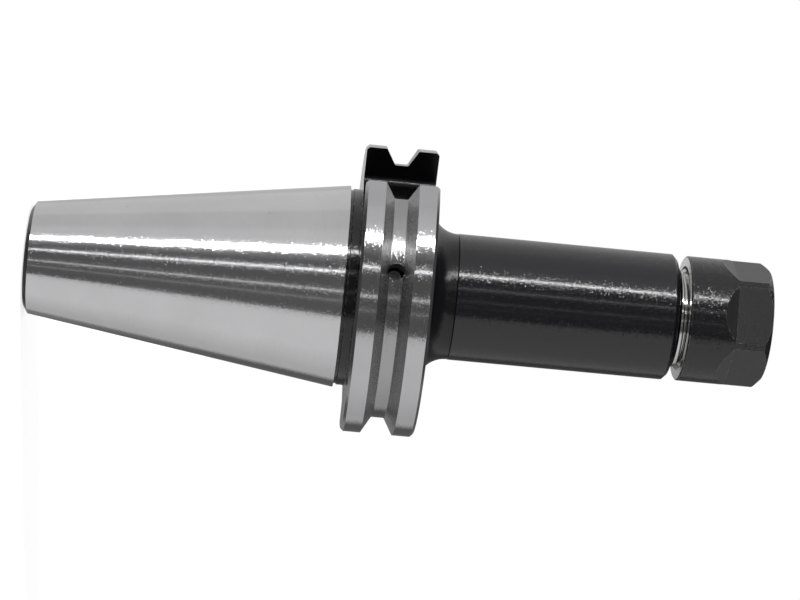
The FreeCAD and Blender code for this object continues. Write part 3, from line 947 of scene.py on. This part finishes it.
    def region(self, centre: Vector, normal: Vector) -> Finish:
        """The finish of a face, by its centre and normal."""
        r, out = outwards(centre, normal)
        z = centre.z
        near = self.NEAR
        from_groove = abs(z - self.groove_centre)
        if r < self.BORE_LIMIT and near <= z <= self.nose_end - near:
            return BORE_STEEL
        if z > self.neck_end + 2 * near:
            return BRIGHT_THREAD
        if z > self.root_line:
            return BLACK_NECK
        if z > self.flange_front + near:
            return BLACK_ROOT
        if z > self.flange_rear - near and r > self.neck_radius:
            if (
                abs(centre.y) < self.slot_half + 2 * near
                and r > self.collar_radius + 0.3
                and abs(centre.x) > self.near_floor - 0.1
            ):
                in_corner = 0.05 < abs(normal.x) < 0.999 and abs(normal.z) < 0.3
                at_foot = abs(centre.x) < self.far_floor + self.slot_corner
                return BLACK_NECK if in_corner and at_foot else BLACK_MILLED
            if r < self.groove_floor - 0.3 and from_groove < self.HOLE_REACH:
                return BLACK_MILLED
            if out > 0.9 and r > self.flange_radius - self.flange_chamfer:
                return GROUND_RIM
            if from_groove < self.FLANK_REACH:
                # Groove floor and flanks: finishes darkened by painted shade
                return GROUND_GROOVE_PAINTED_SHADE if r < self.groove_floor + 0.2 else GROUND_FLANK_PAINTED_SHADE
            return GROUND_RIM
        if z > self.taper_length + self.overrun - near:
            return BLACK_TURNED
        if z < self.end_chamfer - 0.1 and out < 0.9:
            return BLACK_TURNED
        return GROUND_TAPER

    FINISHES = (
        GROUND_TAPER, GROUND_RIM, GROUND_GROOVE_PAINTED_SHADE, BLACK_MILLED, BLACK_NECK, BLACK_ROOT,
        BRIGHT_THREAD, BORE_STEEL, BLACK_TURNED, GROUND_FLANK_PAINTED_SHADE,
    )

    def build(self) -> None:
        """Turn, mill, drill and thread the holder, and finish it."""
        obj = turned("holder_shank", self.outline(), self.steps)
        cut(obj, self.slot_cutter(-self.near_floor))
        cut(obj, self.slot_cutter(self.far_floor))
        notch = block(
            "notch_cutter",
            (-self.notch_half, self.notch_floor, self.flange_rear - 2.0),
            (self.notch_half, self.flange_radius + 5.0, self.groove_centre),
        )
        cut(obj, notch)
        self.break_slot_edges(obj)
        self.drill(obj)
        cut(obj, self.nose_groove())
        cut(obj, self.drawbar_groove())
        finished(obj, self.FINISHES, self.region, "holder", "holder_body")


@dataclass
class ClampingNut:
    """The clamping nut with its flats, inner cone and off-centre lip."""

    steps: int = 192
    radius: float = 13.9
    rear: float = 144.76
    front: float = 163.26
    bore: float = 11.025
    entry: float = 0.6
    rear_chamfer: float = 0.3
    front_chamfer: float = 1.5
    front_angle: float = 45.0
    mouth: float = 7.9
    throat: float = 7.2
    cone_gap: float = 0.05
    ring: float = 8.5
    ring_length: float = 2.7
    collet_front: float = 162.26
    lip_blank: float = 6.95
    lip_radius: float = 7.7
    lip_offset: float = 0.55
    lip_play: float = 0.25
    lip_thickness: float = 1.4
    flat: float = 12.4
    flat_length: float = 7.9
    runout: float = 27.0
    clocking: float = -8.0
    flats: int = 6

    @property
    def lip_front(self) -> float:
        """The height of the lip's front face, behind the collet's ring."""
        return self.collet_front - self.ring_length - self.lip_play

    def outline(self) -> list[Corner]:
        """The turned outline, up the outside and down the bore."""
        steep = math.tan(math.radians(30.0))
        face = self.ring - self.ring_length * steep
        seat = self.ring + self.cone_gap * 2
        throat_z = self.collet_front - (self.throat - self.cone_gap - face) / steep
        seat_z = self.collet_front - (seat - self.cone_gap - face) / steep
        lip_rear = self.lip_front - self.lip_thickness
        inset = self.front_chamfer * math.tan(math.radians(self.front_angle))
        return corners(
            (self.bore + self.entry, self.rear, 0.08),
            (self.radius - self.rear_chamfer, self.rear, 0.06),
            (self.radius, self.rear + self.rear_chamfer, 0.12),
            (self.radius, self.front - self.front_chamfer, 0.2),
            (self.radius - inset, self.front, 0.15),
            (self.mouth, self.front, 0.1),
            (self.throat, throat_z, 0.05),
            (seat, seat_z, 0.05),
            (seat, self.lip_front),
            (self.lip_blank, self.lip_front),
            (self.lip_blank, lip_rear),
            (self.bore, lip_rear),
            (self.bore, self.rear + self.entry, 0.05),
        )

    def flat_cutter(self) -> Piece:
        """The cutter of one spanner flat with its sloping run-out."""
        clear = self.radius + 2.0
        foot = self.front - self.flat_length
        runout_foot = foot - (clear - self.flat) / math.tan(math.radians(self.runout))
        cutter = block(
            "flat_cutter", (self.flat, -self.radius, foot), (clear, self.radius, self.front + 2.0)
        )
        for vertex in cutter.data.vertices:
            if vertex.co.x > self.flat + 1.0 and vertex.co.z < foot + 0.1:
                vertex.co.z = runout_foot
        return cutter

    def region(self, centre: Vector, normal: Vector) -> Finish:
        """The finish of a face, by its place."""
        r, out = outwards(centre, normal)
        if normal.z < -0.99 and centre.z < self.rear + 0.05:
            return BRIGHT_FACE
        if r < self.bore + 0.4 and centre.z < self.front - 0.6:
            return BORE_STEEL
        milled = self.front - self.flat_length - self.RUN_OUT_REACH < centre.z
        if milled and out > 0.5 and r < self.radius - 0.02 and abs(normal.z) < 0.6:
            turn = math.degrees(math.atan2(normal.y, normal.x)) - self.clocking
            half = 180.0 / self.flats
            if abs((turn + half) % (2 * half) - half) < 2.0:
                return BLACK_FLAT
        return BLACK_NUT

    FINISHES = (BLACK_NUT, BLACK_FLAT, BRIGHT_FACE, BORE_STEEL)
    RUN_OUT_REACH = 4.0

    def build(self) -> None:
        """Turn, bore and mill the nut, and finish it."""
        obj = turned("nut_shell", self.outline(), self.steps)
        lip = rod(
            "lip_cutter", self.lip_radius, self.lip_front - self.lip_thickness - 0.5,
            self.lip_front, over=0.05, steps=128,
        )
        cut(obj, placed(lip, Matrix.Translation((self.lip_offset, 0, 0))))
        cut_round(obj, (self.flat_cutter(),), self.flats)
        placed(obj, Matrix.Rotation(math.radians(self.clocking), 4, "Z"))
        finished(obj, self.FINISHES, self.region, "nut", "clamping_nut")


@dataclass
class SpringCollet:
    """The slotted spring collet, slit from both ends in turn."""

    steps: int = 144
    front: float = 162.26
    rear: float = 134.76
    nose_end: float = 156.0
    ring: float = 8.5
    ring_length: float = 2.7
    groove: float = 6.9
    groove_width: float = 2.0
    seat: float = 7.97
    half_angle: float = 8.0
    bore: float = 3.0
    relief: float = 3.4
    grip: float = 18.0
    slit: float = 0.6
    slits: int = 6
    front_slit_end: float = 4.5
    rear_slit_end: float = 6.5

    def outline(self) -> list[Corner]:
        """The turned outline, up the outside and down the bore."""
        face = self.ring - self.ring_length * math.tan(math.radians(30.0))
        ring_back = self.front - self.ring_length
        taper_top = ring_back - self.groove_width
        shallow = math.tan(math.radians(self.half_angle))
        return corners(
            (self.relief, self.rear, 0.1),
            (self.seat - (self.nose_end - self.rear) * shallow, self.rear, 0.3),
            (self.seat + (taper_top - self.nose_end) * shallow, taper_top, 0.1),
            (self.groove, taper_top, 0.15),
            (self.groove, ring_back, 0.15),
            (self.ring, ring_back, 0.12),
            (face, self.front, 0.15),
            (self.bore + 0.3, self.front, 0.05),
            (self.bore, self.front - 0.3, 0.05),
            (self.bore, self.front - self.grip),
            (self.relief, self.front - self.grip),
        )

    def build(self) -> None:
        """Turn and slit the collet, and finish it."""
        obj = turned("spring_collet", self.outline(), self.steps)
        half = self.slit / 2
        low, high = self.rear + self.front_slit_end, self.front - self.rear_slit_end
        front, rear = (
            block("slit_cutter", (self.bore / 2, -half, foot), (self.ring + 3.0, half, top))
            for foot, top in ((low, self.front + 5.0), (self.rear - 5.0, high))
        )
        between = Matrix.Rotation(math.pi / self.slits, 4, "Z")
        cut_round(obj, (front, placed(rear, between)), self.slits)
        finished(
            obj, (COLLET_STEEL,), lambda centre, normal: COLLET_STEEL,
            "collet", "collet",
        )


@dataclass
class SetScrews:
    """The stop screw and the coolant plugs, kept as their solids."""

    stop: str = "stop_screw"
    plugs: tuple[str, ...] = ("groove_plug_1", "groove_plug_2", "flange_plug_1", "flange_plug_2")

    def dress(self, nodes: dict[str, Piece]) -> None:
        """Give the screws their finishes, on the solids by name."""
        for name, finish in ((self.stop, SCREW_BLACK), *((p, PLUG_STEEL) for p in self.plugs)):
            node = nodes[name]
            if not node.material_slots:
                node.data.materials.append(None)
            for material_slot in node.material_slots:
                material_slot.material = finish.material()
            LOG.info("%s: %s", name, finish.name)


# The studio


@dataclass(frozen=True)
class Panel:
    """An upright panel or lamp between two turns away from the camera, in degrees."""

    low: float
    high: float
    glow: float


@dataclass(frozen=True)
class Card:
    """A card behind the part, reflected by faces that lean to its ends.

    Args:
        turn: its middle's turn away from the camera, in degrees.
        reach: how far it reaches to both sides of its middle.
        foot: the sine of the height at which it begins to glow.
        low: the sine from which it glows fully.
        high: the sine up to which it does.
        top: the sine at which it ends.
        glow: its strength.
    """

    turn: float
    reach: float
    foot: float
    low: float
    high: float
    top: float
    glow: float


@dataclass
class Studio:
    """Camera, soft panels, lamps and floor."""

    eye_height: float = 54.321
    eye_distance: float = 551.74
    camera_turn: float = 241.0
    focal_pixels: float = 2496.2
    picture_width: float = 800.0
    yaw: float = 0.050455
    pitch: float = 0.003297
    roll: float = -0.093464
    floor_reach: float = 1.6
    floor_drop: float = 0.0002
    floor_grey: float = 0.82
    pole_glow: float = 0.07
    floor_glow: float = 0.72

    ROOM = (
        Panel(-180.0, -170.0, 0.16), Panel(-158.0, -140.0, 0.12), Panel(-130.0, -120.0, 0.57),
        Panel(-80.0, -44.0, 0.77), Panel(-37.0, -36.0, 0.70), Panel(-34.0, 26.0, 0.12),
        Panel(32.0, 32.5, 0.24), Panel(36.0, 36.5, 0.38),
        Panel(40.0, 44.0, 1.0), Panel(48.0, 49.0, 0.82), Panel(54.0, 63.0, 0.72),
        Panel(72.0, 97.0, 0.64), Panel(100.0, 142.0, 0.72), Panel(152.0, 166.0, 0.57),
        Panel(174.0, 180.0, 0.50),
    )
    LAMPS = (
        Panel(-17.0, -16.0, 0.3), Panel(-5.8, -5.0, 1.3), Panel(17.0, 17.4, 6.0),
        Panel(40.2, 43.2, 30.0),
    )
    CARDS = (
        Card(180.0, 12.0, -0.30, -0.22, -0.10, -0.05, 0.22),
        Card(-157.0, 28.0, -0.42, -0.34, -0.20, -0.10, 0.15),
        Card(180.0, 34.0, 0.56, 0.70, 0.88, 0.95, 0.26),
        Card(180.0, 34.0, -0.95, -0.88, -0.70, -0.56, 0.26),
    )
    CARD_RAMP = (0.0, 1.0, 1.0, 0.0)
    POLE_FADE = ((0.0, 1.0), (0.62, 1.0), (0.86, 0.0), (1.0, 0.0))
    LAMP_EDGE = 0.35
    LAMP_PEAK = 30.0
    ROOM_PEAK = 2.0

    def camera(self) -> None:
        """Set the camera up as the photograph's."""
        toward = math.radians(self.camera_turn)
        along = Vector((0, 0, 1))
        near = Vector((math.cos(toward), math.sin(toward), 0))
        up = near.cross(along)
        basis = Matrix((along, up, near)).transposed()
        turn = (
            Matrix.Rotation(self.roll, 3, "Z")
            @ Matrix.Rotation(self.yaw, 3, "Y")
            @ Matrix.Rotation(self.pitch, 3, "X")
        )
        data = bpy.data.cameras.new("camera")
        data.sensor_width = 36.0
        data.lens = self.focal_pixels / self.picture_width * data.sensor_width
        data.clip_start = 0.01
        eye = bpy.data.objects.new("camera", data)
        bpy.context.scene.collection.objects.link(eye)
        matrix = (basis @ turn.transposed()).to_4x4()
        matrix.translation = (along * self.eye_height + near * self.eye_distance) * MM
        eye.matrix_world = matrix
        bpy.context.scene.camera = eye

    def lit(
        self, w: Wiring, share: Socket, panels: Sequence[Panel], edge: float, peak: float
    ) -> Socket:
        """The light of a row of panels, by the share of a full turn from the camera.

        Args:
            edge: how far a lamp's light reaches past it, 0 where the panels blend.
            peak: the strongest glow.
        """
        stops = []
        for panel in panels:
            ends = [(panel.low, panel.glow), (panel.high, panel.glow)]
            if edge > 0.0:
                ends = [(panel.low - edge, 0.0), *ends, (panel.high + edge, 0.0)]
            stops += [((turn + 180.0) / 360.0, glow / peak) for turn, glow in ends]
        return w.math("MULTIPLY", w.ramp(share, stops), peak)

    def world(self) -> None:
        """Soft upright panels round the part, white behind it."""
        world = bpy.data.worlds.new("studio")
        bpy.context.scene.world = world
        world.use_nodes = True
        w = Wiring(world.node_tree)
        way = w.node("TexCoord").outputs["Generated"]
        parts = w.node("SeparateXYZ", Vector=way)
        turn = w.math("ARCTAN2", parts.outputs[1], parts.outputs[0])
        angle = w.math("SUBTRACT", math.radians(self.camera_turn) + 5 * math.pi, turn)
        share = w.math("DIVIDE", w.math("MODULO", angle, FULL_TURN), FULL_TURN)
        room = self.lit(w, share, self.ROOM, 0.0, self.ROOM_PEAK)
        lamps = self.lit(w, share, self.LAMPS, self.LAMP_EDGE, self.LAMP_PEAK)
        height = parts.outputs[2]
        lift = w.math("ABSOLUTE", height)
        fade = w.ramp(lift, self.POLE_FADE, smooth=True)
        strength = w.mix(fade, self.pole_glow, w.math("ADD", room, lamps))
        for card in self.CARDS:
            reach = card.reach / 360.0
            turned_to = w.math("FRACT", w.math("ADD", share, 1.0 - card.turn / 360.0))
            sides = (-reach, -reach / 2, reach / 2, reach)
            ends = (card.foot / 2, card.low / 2, card.high / 2, card.top / 2)
            across, up = (
                w.ramp(value, [(0.5 + place, grey) for place, grey in zip(places, self.CARD_RAMP)])
                for value, places in (
                    (turned_to, sides), (w.math("MULTIPLY_ADD", height, 0.5, 0.5), ends)
                )
            )
            strength = w.math(
                "MULTIPLY_ADD", w.math("MULTIPLY", across, up), card.glow, strength
            )
        studio, plain = (
            w.node("Background", Color=WHITE, Strength=glow).outputs[0] for glow in (strength, 1.0)
        )
        w.node("OutputWorld", Surface=w.for_camera(studio, plain))

    def floor(self) -> None:
        """A white floor that keeps the part's shadow."""
        bpy.ops.object.select_all(action="DESELECT")
        bpy.ops.mesh.primitive_circle_add(
            vertices=96, radius=self.floor_reach, fill_type="NGON",
            location=(0, 0, -self.floor_drop),
        )
        floor = named("floor")
        fix_place()
        material = bpy.data.materials.new("floor_white")
        material.use_nodes = True
        w = Wiring(material.node_tree)
        plain = w.node("BsdfDiffuse", Color=(*[self.floor_grey] * 3, 1.0)).outputs[0]
        glow = w.node("Emission", Color=WHITE, Strength=self.floor_glow).outputs[0]
        white = w.node("AddShader", in_0=plain, in_1=glow).outputs[0]
        w.node("OutputMaterial", Surface=w.for_camera(plain, white))
        floor.data.materials.append(material)
        floor.visible_glossy = False

    def set_up(self) -> None:
        """Camera, panels, floor and plain colour handling."""
        self.camera()
        self.world()
        self.floor()
        bpy.context.scene.view_settings.view_transform = "Standard"


def main() -> None:
    """Build each sub-assembly, then the studio."""
    logging.basicConfig(level=logging.INFO, format="%(name)s %(message)s")
    bpy.ops.object.select_all(action="DESELECT")
    for assembly in (HolderBody(), ClampingNut(), SpringCollet()):
        assembly.build()
    SetScrews().dress(frame["nodes"])
    Studio().set_up()


if __name__ == "__main__":
    main()
